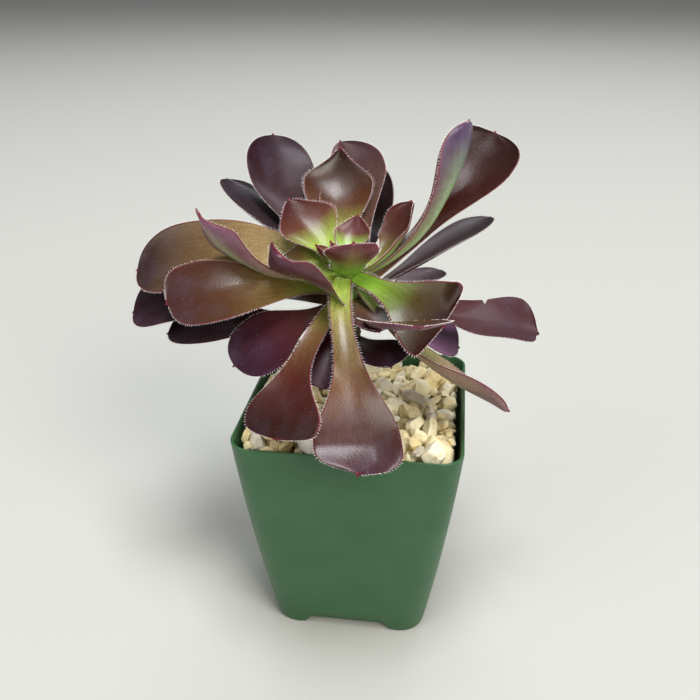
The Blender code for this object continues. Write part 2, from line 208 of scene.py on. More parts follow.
# Moulded polypropylene: an even green with a soft satin gleam, slightly uneven in tone and gloss where
# it was handled, over the faint orange peel of the mould.
polypropylene, tree, shader = new_material("moulded_polypropylene", IOR=1.49)
place = add(tree, "TexCoord").outputs["Object"]
cloud = add(tree, "TexNoise", {"Vector": place, "Scale": 1 / (18 * MM), "Detail": 4.0})
tone = add(tree, "ValToRGB", {"Fac": cloud})
for stop, spot, code in zip(tone.color_ramp.elements, (0.3, 0.7), ("2C5733", "335F39")):
    stop.position = spot
    stop.color = linear(code)
scuff = add(tree, "TexNoise", {"Vector": place, "Scale": 1 / (5 * MM), "Detail": 6.0})
gloss = add(tree, "MapRange", {"Value": scuff, "To Min": 0.36, "To Max": 0.5})
peel = add(tree, "TexNoise", {"Vector": place, "Scale": 1 / (0.9 * MM), "Detail": 2.0})
bump = add(tree, "Bump", {"Height": peel, "Strength": 0.08, "Distance": 0.2 * MM})
wire(tree, shader, Base_Color=tone, Roughness=gloss, Normal=bump)

around = len(rows[0])
pot = piece("nursery_pot", np.concatenate(rows), tube_faces(len(rows), around), polypropylene,
            ["pot"])
bm = bmesh.new()
bm.from_mesh(pot.data)
bmesh.ops.recalc_face_normals(bm, faces=bm.faces)
bm.to_mesh(pot.data)
bm.free()
drills = []
for sx, sy in ((1, 1), (-1, 1), (-1, -1), (1, -1)):
    drill_mesh = bpy.data.meshes.new("drain")
    bm = bmesh.new()
    bmesh.ops.create_cone(bm, cap_ends=True, segments=32, radius1=DRAIN_RADIUS * MM,
                          radius2=DRAIN_RADIUS * MM, depth=4 * FOOT_HEIGHT * MM)
    bm.to_mesh(drill_mesh)
    bm.free()
    drill = put("drain", drill_mesh)
    drill.location = (AXIS[0] + sx * DRAIN_OFFSET * MM, AXIS[1] + sy * DRAIN_OFFSET * MM, FOOT_HEIGHT * MM)
    cut = pot.modifiers.new("drain", "BOOLEAN")
    cut.object = drill
    cut.solver = "EXACT"
    drills.append(drill)
bpy.context.view_layer.update()
drilled = bpy.data.meshes.new_from_object(pot.evaluated_get(bpy.context.evaluated_depsgraph_get()))
pot.modifiers.clear()
pot.data = drilled
pot.data.set_sharp_from_angle(angle=math.radians(POT_CREASE))
for drill in drills:
    bpy.data.objects.remove(drill, do_unlink=True)

# ---------------------------------------------------------------------------
# Potting mix. Peat and bark crumbs, filled loose into the pot to a little below the rim. It shows only
# as darkness between the stones.
# ---------------------------------------------------------------------------
GAP = 0.3
SOIL_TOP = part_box("potting_soil")[1].z / MM
CRUMB = 0.5
CLOD = 2.2
GRIT = 0.9
BED_RISE = 3.0
BED_TOP = SOIL_TOP + BED_RISE

rows = []
for z in (FLOOR_TOP + GAP, 12.0, 24.0, 40.0, 56.0, 70.0, BED_TOP - 1.0):
    xy = rounded_square(pot_half_width(z) - WALL - GAP, pot_corner(z) - WALL - GAP)
    rows.append(outline_at(xy, z))
edge = rows[-1][:, :2]
for share in np.linspace(0.985, 0.01, 34):
    xy = edge * share
    lumps = [noise.noise(Vector((x, y, 0.0)) / CLOD) + noise.noise(Vector((x, y, 9.0)) / GRIT) * 0.5
             for x, y in xy]
    rows.append(outline_at(xy, BED_TOP - CRUMB * (1.0 - np.array(lumps))))

# Peat: very dark brown and fully matt, with paler fibres.
peat, tree, shader = new_material("damp_peat", Roughness=0.95)
place = add(tree, "TexCoord").outputs["Object"]
crumb = add(tree, "TexNoise", {"Vector": place, "Scale": 1 / (1.6 * MM), "Detail": 5.0})
tone = add(tree, "ValToRGB", {"Fac": crumb})
for stop, spot, code in zip(tone.color_ramp.elements, (0.35, 0.75), ("17110C", "3C2C1E")):
    stop.position = spot
    stop.color = linear(code)
bump = add(tree, "Bump", {"Height": crumb, "Strength": 0.8, "Distance": 0.8 * MM})
wire(tree, shader, Base_Color=tone, Normal=bump)
piece("potting_mix", np.concatenate(rows), tube_faces(len(rows), around), peat,
      ["potting_soil"])

# ---------------------------------------------------------------------------
# Top dressing. Crushed limestone, 3 to 17 mm, poured loose over the mix: each stone is a chip with crisp
# arrises, dropped into the pot and settled under its own weight.
# ---------------------------------------------------------------------------
STONE_COUNT = 480
STONE_MEDIAN = 6.2
STONE_LARGEST = 14.0
STONE_LEAST = 3.6
STONE_SEED = 11
STONE_ARRIS = 60
STONE_FULL = 1.32
STONE_BED = 1.5
STONE_WORN = 0.95
STONE_SPREAD = 0.4
STONE_BREADTH = (0.52, 0.9)
STONE_DEPTH = (0.36, 0.74)
STONE_GRAIN = 0.07
STONE_CREASE = 27
FACET_COUNT = (9, 15)
FACET_REACH = (0.5, 0.82)
STEM_HOLE = 6.4
SETTLE_SCALE = 100.0
SETTLE_FRAMES = 110
FUNNEL_RISE = 60
FUNNEL_THICK = 22.0
DROP_SPREAD = 34
DROP_START = 9
DROP_STEP = 11


def ball(subdivisions):
    bm = bmesh.new()
    bmesh.ops.create_icosphere(bm, subdivisions=subdivisions, radius=1.0)
    points = np.array([v.co[:] for v in bm.verts])
    faces = [tuple(v.index for v in f.verts) for f in bm.faces]
    bm.free()
    return points, faces


def chip(directions, facets, distances, half_sizes, arris, grain, seed):
    """A ball of directions cut by facets: high arris keeps the edges crisp, grain roughens the faces."""
    facing = np.maximum(directions @ facets.T, 0.0) / distances
    radius = ((facing ** arris).sum(1) + 1.0) ** (-1.0 / arris)
    if grain:
        rough = [noise.noise(Vector(d) * 2.3 + Vector((seed, 0, 0))) for d in directions]
        fine = [noise.noise(Vector(d) * 6.0 + Vector((0, seed, 0))) for d in directions]
        radius = radius * (1.0 + grain * np.array(rough) + 0.4 * grain * np.array(fine))
    return directions * radius[:, None] * half_sizes


rng = np.random.RandomState(STONE_SEED)
coarse_ball, coarse_faces = ball(2)
stones = []
for k in range(STONE_COUNT):
    size = STONE_MEDIAN * math.exp(STONE_SPREAD * rng.randn())
    size = min(STONE_LARGEST, max(STONE_LEAST, size))
    half_sizes = size / 2 * np.array([1.0, rng.uniform(*STONE_BREADTH), rng.uniform(*STONE_DEPTH)])
    facets = rng.randn(rng.randint(*FACET_COUNT), 3)
    facets /= np.linalg.norm(facets, axis=1)[:, None]
    distances = rng.uniform(*FACET_REACH, len(facets))
    tint = rng.rand()
    stones.append((half_sizes, facets, distances, tint, k * 3.7))
stones.sort(key=lambda s: -s[0].prod())
order = rng.permutation(STONE_COUNT)


def settle(stones):
    """Drops the stones into a scaled-up pot and returns where each comes to rest, as matrices."""
    scene = bpy.context.scene
    first_frame = scene.frame_current
    bpy.ops.rigidbody.world_add()
    world = scene.rigidbody_world
    world.collection = bpy.data.collections.new("settling")
    world.substeps_per_frame = 10
    world.solver_iterations = 20
    world.point_cache.frame_end = SETTLE_FRAMES + 5

    def solid(name, points, faces, kind, shape):
        mesh = bpy.data.meshes.new(name)
        mesh.from_pydata((np.asarray(points) * MM * SETTLE_SCALE).tolist(), [], faces)
        made = put(name, mesh)
        with bpy.context.temp_override(object=made, active_object=made, selected_objects=[made]):
            bpy.ops.rigidbody.object_add(type=kind)
        made.rigid_body.collision_shape = shape
        made.rigid_body.use_margin = True
        made.rigid_body.collision_margin = 0.1 * MM * SETTLE_SCALE
        made.rigid_body.friction = 0.75
        made.rigid_body.restitution = 0.0
        return made

    inner = []
    low, high = SOIL_TOP - 12, POT_HEIGHT + FUNNEL_RISE
    for z, out in ((low, 0.0), (low, FUNNEL_THICK), (high, FUNNEL_THICK), (high, 0.0)):
        xy = rounded_square(pot_half_width(min(z, POT_HEIGHT)) - WALL + out, RIM_CORNER + out, 4, 4)
        inner.append(outline_at(xy, z))
    n = len(inner[0])
    ring = [(a * n + i, a * n + (i + 1) % n, b * n + (i + 1) % n, b * n + i)
            for a, b in ((0, 1), (1, 2), (2, 3), (3, 0)) for i in range(n)]
    solids = [solid("settling_wall", np.concatenate(inner), ring, "PASSIVE", "MESH")]
    square = ((-60, -60), (60, -60), (60, 60), (-60, 60))
    corners = [(x, y, z) for z in (BED_TOP - 14, BED_TOP + STONE_BED) for x, y in square]
    sides = [(0, 3, 2, 1), (4, 5, 6, 7), (0, 1, 5, 4), (1, 2, 6, 5), (2, 3, 7, 6), (3, 0, 4, 7)]
    solids.append(solid("settling_floor", corners, sides, "PASSIVE", "CONVEX_HULL"))
    post = [(STEM_HOLE * math.cos(math.pi * i / 8), STEM_HOLE * math.sin(math.pi * i / 8), z)
            for z in (SOIL_TOP, high) for i in range(16)]
    solids.append(solid("settling_stem", post, tube_faces(2, 16), "PASSIVE", "CONVEX_HULL"))
    across = np.linspace(-DROP_SPREAD, DROP_SPREAD, 7)
    seats = [(x, y) for x in across for y in across if math.hypot(x, y) > 14]
    drops = []
    for k, which in enumerate(order):
        half_sizes, facets, distances = stones[which][:3]
        shape = chip(coarse_ball, facets, distances, half_sizes * STONE_FULL, STONE_ARRIS, 0.0, 0)
        made = solid("settling_stone", shape, coarse_faces, "ACTIVE", "CONVEX_HULL")
        x, y = seats[k % len(seats)]
        layer = k // len(seats)
        z = BED_TOP + DROP_START + DROP_STEP * layer
        made.location = Vector((x + rng.uniform(-1, 1), y + rng.uniform(-1, 1), z)) * MM * SETTLE_SCALE
        made.rotation_euler = rng.uniform(0, 6.28, 3)
        made.rigid_body.mass = float(half_sizes.prod()) / 20.0
        made.rigid_body.linear_damping = 0.1
        made.rigid_body.angular_damping = 0.3
        drops.append((which, made))
    for step in range(1, SETTLE_FRAMES + 1):
        scene.frame_set(step)
    graph = bpy.context.evaluated_depsgraph_get()
    rest = {}
    for which, made in drops:
        place = made.evaluated_get(graph).matrix_world
        rest[which] = (np.array(place.to_3x3()), np.array(place.translation) / (MM * SETTLE_SCALE))
    bpy.ops.rigidbody.world_remove()
    for made in solids + [d[1] for d in drops]:
        mesh = made.data
        bpy.data.objects.remove(made, do_unlink=True)
        bpy.data.meshes.remove(mesh)
    scene.frame_set(first_frame)
    return rest


rest = settle(stones)

# Crushed limestone: cream to grey-white, fully matt, stained ochre in random patches, with a sugary grain.
limestone, tree, shader = new_material("crushed_limestone", Roughness=0.86)
shader.inputs["Specular IOR Level"].default_value = 0.3
place = add(tree, "TexCoord").outputs["Object"]
tint = add(tree, "Attribute", attribute_name="stone_tint")
tone = add(tree, "ValToRGB", {"Fac": tint.outputs["Fac"]})
ramp = tone.color_ramp
ramp.elements[0].color = linear("F6E8B8")
ramp.elements[1].position = 1.0
ramp.elements[1].color = linear("ECE9DE")
for spot, code in ((0.3, "F8F0CC"), (0.55, "F0DCA2"), (0.75, "FAF4DA"), (0.9, "EAE4CC")):
    ramp.elements.new(spot).color = linear(code)
stain = add(tree, "TexNoise", {"Vector": place, "Scale": 1 / (3.5 * MM), "Detail": 5.0, "Roughness": 0.62})
patch = add(tree, "MapRange", {"Value": stain, "From Min": 0.48, "From Max": 0.7})
mix = add(tree, "MixRGB", {"Fac": patch, "Color1": tone, "Color2": linear("C8A468")}, blend_type="MULTIPLY")
soften = add(tree, "MixRGB", {"Fac": 0.55, "Color1": tone, "Color2": mix})
pits = add(tree, "TexNoise", {"Vector": place, "Scale": 1 / (0.7 * MM), "Detail": 4.0, "Roughness": 0.7})
grain = add(tree, "Bump", {"Height": pits, "Strength": 0.9, "Distance": 0.35 * MM})
wire(tree, shader, Base_Color=soften, Normal=grain)

deep = sum(spot[2] for turn, spot in rest.values()) / len(rest)
for name, detail, chosen in (("stones_top", 4, lambda z: z >= deep), ("stones_below", 3, lambda z: z < deep)):
    directions, ball_faces = ball(detail)
    points, faces, tints = [], [], []
    for which, (turn, spot) in sorted(rest.items()):
        if not chosen(spot[2]) or spot[2] < SOIL_TOP - 5 or spot[2] > POT_HEIGHT + 3:
            continue
        half_sizes, facets, distances, tint, seed = stones[which]
        half_sizes = half_sizes * STONE_FULL * STONE_WORN
        shape = chip(directions, facets, distances, half_sizes, STONE_ARRIS, STONE_GRAIN, seed)
        first = sum(len(p) for p in points)
        points.append(shape @ turn.T + spot)
        faces += [tuple(first + i for i in f) for f in ball_faces]
        tints += [tint] * len(shape)
    made = piece(name, np.concatenate(points), faces, limestone,
                 ["gravel_top_dressing"] if name == "stones_top" else (), sharp=STONE_CREASE)
    made.data.attributes.new("stone_tint", "FLOAT", "POINT").data.foreach_set("value", tints)

# ---------------------------------------------------------------------------
# Stem. A short corky trunk that leans a little to the left, ringed by the crescent scars of fallen
# leaves, and green and smooth where the rosette still grows from it.
# ---------------------------------------------------------------------------
STEM_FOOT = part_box("stem")[0].z / MM
STEM_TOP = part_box("stem")[1].z / MM
LEAN_FROM = 90.0
STEM_TIP = (-5.0, -1.0, 155.0)
STEM_BASE_RADIUS = 5.6
STEM_CROWN_RADIUS = 4.0
CROWN_START = 128.0
SCAR_RISE = 1.25
SCAR_TURN = math.radians(137.5)
SCAR_FROM = 84.0
RIDGE = 0.34
HOLLOW = 0.22
BARK_LUMP = 0.16
RELIEF_MOST = 0.35
SWELL_FROM = 70.0
CLOSE_FROM = 149.0


def stem_axis(z):
    """Point on the stem's centre line at height z."""
    share = max(0.0, (z - LEAN_FROM) / (STEM_TIP[2] - LEAN_FROM))
    return np.array([STEM_TIP[0] * share, STEM_TIP[1] * share, z])


def stem_radius(z):
    swell = 1.0 - ease((z - SWELL_FROM) / (CROWN_START - SWELL_FROM))
    closing = 1.0
    if z > CLOSE_FROM:
        closing = max(0.0, 1.0 - ((z - CLOSE_FROM) / (STEM_TOP - CLOSE_FROM)) ** 2) ** 0.5
    return max(0.3, (STEM_CROWN_RADIUS + (STEM_BASE_RADIUS - STEM_CROWN_RADIUS) * swell) * closing)


around_stem = 72
turns = np.linspace(0, 2 * math.pi, around_stem, endpoint=False)
rows = []
fresh = []
for z in np.concatenate([np.linspace(STEM_FOOT, SCAR_FROM, 6), np.linspace(85.0, STEM_TOP, 130)]):
    relief = np.zeros(around_stem)
    if z > SCAR_FROM:
        for k in range(int((CROWN_START - SCAR_FROM) / SCAR_RISE)):
            level = SCAR_FROM + k * SCAR_RISE
            if abs(z - level) > 3.0:
                continue
            away = (turns - k * SCAR_TURN + math.pi) % (2 * math.pi) - math.pi
            crescent = level - 0.9 * (away / 0.55) ** 2
            ridge = np.exp(-((z - crescent) / 0.38) ** 2) * np.exp(-(away / 0.62) ** 4)
            hollow = np.exp(-((z - crescent + 0.9) / 0.5) ** 2) * np.exp(-(away / 0.5) ** 4)
            relief += RIDGE * ridge - HOLLOW * hollow
    relief += np.array([BARK_LUMP * noise.noise(Vector((math.cos(a) * 2, math.sin(a) * 2, z / 3)))
                        for a in turns])
    if z < 86.0 or z > CROWN_START + 4:
        relief *= 0.3
    radius = stem_radius(z) + np.minimum(relief, RELIEF_MOST)
    centre = stem_axis(z)
    rows.append(np.column_stack([centre[0] + radius * np.cos(turns), centre[1] + radius * np.sin(turns),
                                 np.full(around_stem, z)]))
    fresh += [float(ease((z - CROWN_START - 2) / 14.0))] * around_stem

# Corky stem skin: grey-brown and dull over the old part, lime green and waxy where it is still growing.
stem_skin, tree, shader = new_material("stem_bark_and_green_skin")
place = add(tree, "TexCoord").outputs["Object"]
age = add(tree, "Attribute", attribute_name="stem_fresh")
cork = add(tree, "TexNoise", {"Vector": place, "Scale": 1 / (1.4 * MM), "Detail": 5.0})
bark = add(tree, "ValToRGB", {"Fac": cork})
for stop, spot, code in zip(bark.color_ramp.elements, (0.35, 0.68), ("4F3C28", "8E7A58")):
    stop.position = spot
    stop.color = linear(code)
skin = add(tree, "MixRGB", {"Fac": age.outputs["Fac"], "Color1": bark, "Color2": linear("8FB83E")})
dull = add(tree, "MapRange", {"Value": age.outputs["Fac"], "To Min": 0.8, "To Max": 0.45})
grain = add(tree, "Bump", {"Height": cork, "Strength": 0.4, "Distance": 0.3 * MM})
wire(tree, shader, Base_Color=skin, Roughness=dull, Normal=grain)
stem = piece("bare_stem", np.concatenate(rows), tube_faces(len(rows), around_stem), stem_skin,
             ["stem"])
stem.data.attributes.new("stem_fresh", "FLOAT", "POINT").data.foreach_set("value", fresh)

# ---------------------------------------------------------------------------
# Young leaves. The bud in the middle of the rosette and the three leaves round it: fleshy spoons, lime
# green at the foot, flushed purple-brown where light reaches them, edged by a crimson line and short hairs.
# ---------------------------------------------------------------------------
LEAF_THICK_BASE = 2.5
LEAF_THICK_TIP = 1.1
LEAF_EDGE = 0.42
LEAF_ROWS = 70
LEAF_COLUMNS = 22
HAIR_PITCH = 1.05
HAIR_LENGTH = 1.2
HAIR_RADIUS = 0.16
TIP_POINT = 1.0
LEAF_END = 0.82
LEAF_END_RUN = 0.18
LOBE_RUN = 0.07
SWELL = 0.16
GROOVE = 0.14
GROOVE_HALF = 2.4
# Angles are in degrees, lengths in millimetres, and places are shares of the leaf's length.
LEAF_FORM = dict(side=0.0, side_end=0.0, lift=12.0, droop=12.0, roll=0.0, twist=0.0, cup=20.0, cup_tip=20.0,
                 neck=0.22, neck_at=0.1, fill=1.3, belly=0.74, blunt=2.3, ogee=0.0, shift=0.0, skew=0.0,
                 off_stem=4.3, wave=0.0, waves=2.5, rib_width=0.3, bloom_and_sheen=0.5, end_lift=0.0, lobe=0.0,
                 lobe_at=0.88, notch=0.0, notch_at=0.7, notch_wide=0.8)


def direction(heading, rise):
    h, e = math.radians(heading), math.radians(rise)
    return np.array([math.cos(e) * math.cos(h), math.cos(e) * math.sin(h), math.sin(e)])


def leaf_half_width(u, length, form):
    """Half the blade's width along the leaf: a stalk, a late swelling, a round or drawn end, a point."""
    belly, neck, neck_at = form["belly"], form["neck"], form["neck_at"]
    tip = 1.0 - TIP_POINT / length
    rise = np.clip((u - neck_at) / (belly - neck_at), 0.0, 1.0)
    grown = (1.0 - np.cos(math.pi * rise ** form["fill"])) / 2.0
    part = neck + (1.0 - neck) * grown
    part = np.where(u < neck_at, neck * (1.0 - 0.2 * (neck_at - u) / neck_at), part)
    fall = np.clip((u - belly) / (tip - belly), 0.0, 1.0)
    round_end = np.sqrt(np.maximum(0.0, 1.0 - fall ** form["blunt"]))
    drawn_end = (1.0 + np.cos(math.pi * fall)) / 2.0
    part = np.where(u < belly, part, round_end * (1.0 - form["ogee"]) + drawn_end * form["ogee"])
    mucro = 0.6 * np.clip((1.0 - u) * length / (TIP_POINT + 1.0), 0.0, 1.0) + 0.12
    return np.maximum(part * form["width"] / 2.0, mucro)


def leaf_midline(form, steps=160):
    """The leaf's middle line from the stem to its tip: points, tangents, share of length, length."""
    start = stem_axis(form["height"]) + direction(form["heading"] + form["side"], 0.0) * form["off_stem"]
    end = stem_axis(form["height"]) + direction(form["heading"], 0.0) * form["reach"]
    end[2] = form["tip"]
    chord = end - start
    span = np.linalg.norm(chord)
    rise = math.degrees(math.asin(chord[2] / span))
    dip = max(0.0, -math.sin(math.radians(rise + form["lift"])))
    start = start + direction(form["heading"] + form["side"], 0.0) * LEAF_THICK_BASE * dip
    first = start + direction(form["heading"] + form["side"], rise + form["lift"]) * 0.36 * span
    second = end - direction(form["heading"] - form["side_end"], rise - form["droop"]) * 0.36 * span
    t = np.linspace(0.0, 1.0, steps + 1)[:, None]
    points = (1 - t) ** 3 * start + 3 * (1 - t) ** 2 * t * first
    points = points + 3 * (1 - t) * t ** 2 * second + t ** 3 * end
    tangent = (1 - t) ** 2 * (first - start) + 2 * (1 - t) * t * (second - first) + t ** 2 * (end - second)
    run = np.concatenate([[0.0], np.cumsum(np.linalg.norm(np.diff(points, axis=0), axis=1))])
    return points, tangent, run / run[-1], run[-1]


def leaf_body(form, seed):
    """Skin of one leaf: points row by row round the section, and what the cuticle's colour needs."""
    points, tangent, share, length = leaf_midline(form)
    h = math.radians(form["heading"])
    u = np.linspace(0.0, 1.0, LEAF_ROWS + 1)
    u = np.minimum(1.0, u + 0.12 * np.sin(math.pi * u) * u)
    p = np.stack([np.interp(u, share, points[:, k]) for k in range(3)], 1)
    t = np.stack([np.interp(u, share, tangent[:, k]) for k in range(3)], 1)
    t /= np.linalg.norm(t, axis=1)[:, None]
    inward = np.clip(1.0 - u * length / 3.0, 0.0, 1.0)
    p = p - direction(form["heading"] + form["side"], 0.0) * (0.9 * inward)[:, None]
    level = np.array([-math.sin(h), math.cos(h), 0.0])
    level = level - t * (t @ level)[:, None]
    level /= np.linalg.norm(level, axis=1)[:, None]
    up = np.cross(t, level)
    roll = np.radians(form["roll"] + form["twist"] * ease(u))[:, None]
    left = level * np.cos(roll) + up * np.sin(roll)
    normal = up * np.cos(roll) - level * np.sin(roll)
    half = leaf_half_width(u, length, form)
    cup = form["cup"] + (form["cup_tip"] - form["cup"]) * ease((u - 0.3) / 0.6)
    cup = cup * (0.2 + 0.8 * ease(u / 0.3))
    thick = LEAF_THICK_BASE + (LEAF_THICK_TIP - LEAF_THICK_BASE) * ease(u)
    thick = np.minimum(thick, 0.35 * half + 0.5)
    v = np.linspace(-1.0, 1.0, LEAF_COLUMNS + 1)
    v = np.sin(v * math.pi / 2 * 0.8) / math.sin(math.pi / 2 * 0.8)
    uu, vv = np.meshgrid(u, v, indexing="ij")
    bend = np.radians(cup[:, None])
    bend = np.where(np.abs(bend) < 1e-3, 1e-3, bend)
    lean = form["skew"] * np.sin(math.pi * u)
    wide_left = leaf_half_width(u + lean, length, form)[:, None]
    wide_right = leaf_half_width(u - lean, length, form)[:, None]
    offset = 1.0 + form["shift"] * np.sign(vv) * ease((uu - 0.3) / 0.4)
    reach = np.where(vv > 0, wide_left, wide_right) * offset
    from_notch = (uu - form["notch_at"]) * length / form["notch_wide"]
    reach = reach * (1.0 - form["notch"] * np.exp(-from_notch ** 2) * (vv > 0))
    across = np.sign(vv) * reach * np.sin(bend * np.abs(vv)) / bend
    raised = reach * (1.0 - np.cos(bend * np.abs(vv))) / bend
    ripple = np.sin(2 * math.pi * form["waves"] * uu + np.where(vv > 0, 0.0, 1.3))
    raised = raised + form["wave"] * ripple * vv ** 2 * ease((uu - 0.3) / 0.3)
    corner = form["lobe"] * np.exp(-((uu - form["lobe_at"]) / LOBE_RUN) ** 2) * ease((vv - 0.35) / 0.65)
    raised = raised + corner + form["end_lift"] * np.clip((uu - LEAF_END) / LEAF_END_RUN, 0.0, 1.0) ** 2
    across = across + 0.35 * corner
    # The blade is never quite even: long shallow swells that break up the gleam.
    blade = ease((uu - 0.2) / 0.3) * np.minimum(1.0, half[:, None] / 8.0) * ease((1.0 - uu) / 0.12)
    swell = np.sin(uu * length / 9.0 + seed * 1.7 + 1.5 * vv) + np.sin(uu * length / 5.3 - 2.2 * vv + seed)
    raised = raised + SWELL * blade * swell
    groove = np.exp(-(vv * half[:, None] / GROOVE_HALF) ** 2)
    raised = raised - GROOVE * groove * ease(uu / 0.2) * ease((0.95 - uu) / 0.3)
    upper = p[:, None, :] + left[:, None, :] * across[..., None] + normal[:, None, :] * raised[..., None]
    edge = np.minimum(LEAF_EDGE, thick * 0.6)
    depth = edge[:, None] + (thick - edge * 0.6)[:, None] * (1.0 - vv ** 2) ** 0.9
    lower = upper - normal[:, None, :] * depth[..., None]
    out = [upper[:, k] - upper[:, k - s] for k, s in ((-1, 1), (0, -1))]
    out = [o / np.maximum(np.linalg.norm(o, axis=1), 1e-6)[:, None] for o in out]
    left_edge = (upper[:, -1] + lower[:, -1]) / 2 + out[0] * (edge * 0.45)[:, None]
    right_edge = (upper[:, 0] + lower[:, 0]) / 2 + out[1] * (edge * 0.45)[:, None]
    rows = np.concatenate([upper, left_edge[:, None], lower[:, ::-1], right_edge[:, None]], axis=1)
    reach_mm = reach * vv
    one = np.ones((len(u), 1))
    flat = np.concatenate([reach_mm, reach_mm[:, -1:], reach_mm[:, ::-1], reach_mm[:, :1]], axis=1)
    margin = np.abs(reach) * (1.0 - np.abs(vv))
    from_tip = (1.0 - uu) * length
    margin = np.minimum(margin, np.maximum(0.0, from_tip - 0.8))
    margin = np.concatenate([margin, 0 * one, margin[:, ::-1], 0 * one], axis=1)
    under = np.concatenate([0 * uu, 0.5 * one, 0 * uu + 1.0, 0.5 * one], axis=1)
    across_share = np.concatenate([vv, one, vv[:, ::-1], -one], axis=1)
    return rows, dict(u=u, length=length, flat=flat, margin=margin, under=under, v=across_share,
                      edges=((left_edge, out[0]), (right_edge, out[1])), tangent=t, half=half)


def pigment(codes, u):
    """Colour along the leaf, from the foot to the end, as linear RGB."""
    stops = np.array([linear(c)[:3] for c in codes])
    places = (0.04, 0.32, 0.62, 0.92)
    return np.stack([np.interp(u, places, stops[:, k]) for k in range(3)], -1)


def hairs(edges, tangent, u, length, seed):
    """The fringe: one fine cone after another along both margins."""
    points, faces = [], []
    rng = np.random.RandomState(seed)
    for line, out in edges:
        run = np.concatenate([[0.0], np.cumsum(np.linalg.norm(np.diff(line, axis=0), axis=1))])
        stops = np.arange(length * 0.05, run[-1] - 1.5, HAIR_PITCH)
        for s in stops + rng.uniform(-0.2, 0.2, len(stops)) * HAIR_PITCH:
            at = np.array([np.interp(s, run, line[:, k]) for k in range(3)])
            away = np.array([np.interp(s, run, out[:, k]) for k in range(3)])
            along = np.array([np.interp(s, run, tangent[:, k]) for k in range(3)])
            tip = away + along * rng.uniform(0.1, 0.5) + rng.uniform(-0.15, 0.15, 3)
            tip /= np.linalg.norm(tip)
            side = np.cross(tip, along)
            side /= np.linalg.norm(side)
            other = np.cross(tip, side)
            first = len(points)
            size = HAIR_LENGTH * rng.uniform(0.7, 1.15)
            for a in (0.0, 2.094, 4.189):
                points.append(at - tip * 0.12 + HAIR_RADIUS * (side * math.cos(a) + other * math.sin(a)))
            points.append(at + tip * size)
            faces += [(first, first + 1, first + 3), (first + 1, first + 2, first + 3),
                      (first + 2, first, first + 3), (first + 2, first + 1, first)]
    return np.array(points), faces


def make_leaf(name, form, skin, seed):
    form = {**LEAF_FORM, **form}
    rows, facts = leaf_body(form, seed)
    count, around = rows.shape[:2]
    fringe, fringe_faces = hairs(facts["edges"], facts["tangent"], facts["u"], facts["length"], seed)
    body_points = rows.reshape(-1, 3)
    faces = tube_faces(count, around)
    body_faces = len(faces)
    faces += [tuple(len(body_points) + i for i in f) for f in fringe_faces]
    made = piece(name[5:] + "_leaf", np.concatenate([body_points, fringe]), faces, skin, [name])
    mesh = made.data
    mesh.materials.append(hair_skin)
    mesh.polygons.foreach_set("material_index", [0] * body_faces + [1] * len(fringe_faces))
    u = np.repeat(facts["u"][:, None], around, 1)
    top = pigment(form["upper"], u)
    below = pigment(form["under"], u)
    band = np.exp(-(facts["v"] / form["rib_width"]) ** 2)[..., None]
    rib = pigment(form["rib"], u)
    below = below + (rib - below) * band
    blend = facts["under"][..., None]
    color = top * (1 - blend) + below * blend
    color = np.concatenate([color, np.ones((count, around, 1))], -1)
    spot = np.stack([u * facts["length"], facts["flat"], facts["under"] * 30 + seed * 57.0], -1)
    # Share of the bluish bloom, partly a painted sheen, rising towards the leaf's end.
    bloom_and_sheen = ease((u - 0.35) / 0.5) * form["bloom_and_sheen"]
    for key, kind, field, values, on_hairs in (
            ("pigment", "FLOAT_COLOR", "color", color, (0.6, 0.6, 0.6, 1.0)),
            ("leaf_mm", "FLOAT_VECTOR", "vector", spot, 0.0),
            ("leaf_margin", "FLOAT", "value", facts["margin"], 0.0),
            ("leaf_bloom_and_sheen", "FLOAT", "value", bloom_and_sheen, 0.0)):
        values = values.reshape(len(body_points), -1)
        values = np.concatenate([values, np.full((len(fringe), values.shape[1]), on_hairs)])
        mesh.attributes.new(key, kind, "POINT").data.foreach_set(field, values.astype(np.float32).ravel())


def grow(leaves, shared, skin, first_seed):
    """Makes a group of leaves: each has its own form over what the group shares."""
    for k, (name, form) in enumerate(leaves.items()):
        make_leaf(name, {**shared, **form}, skin, first_seed + k)


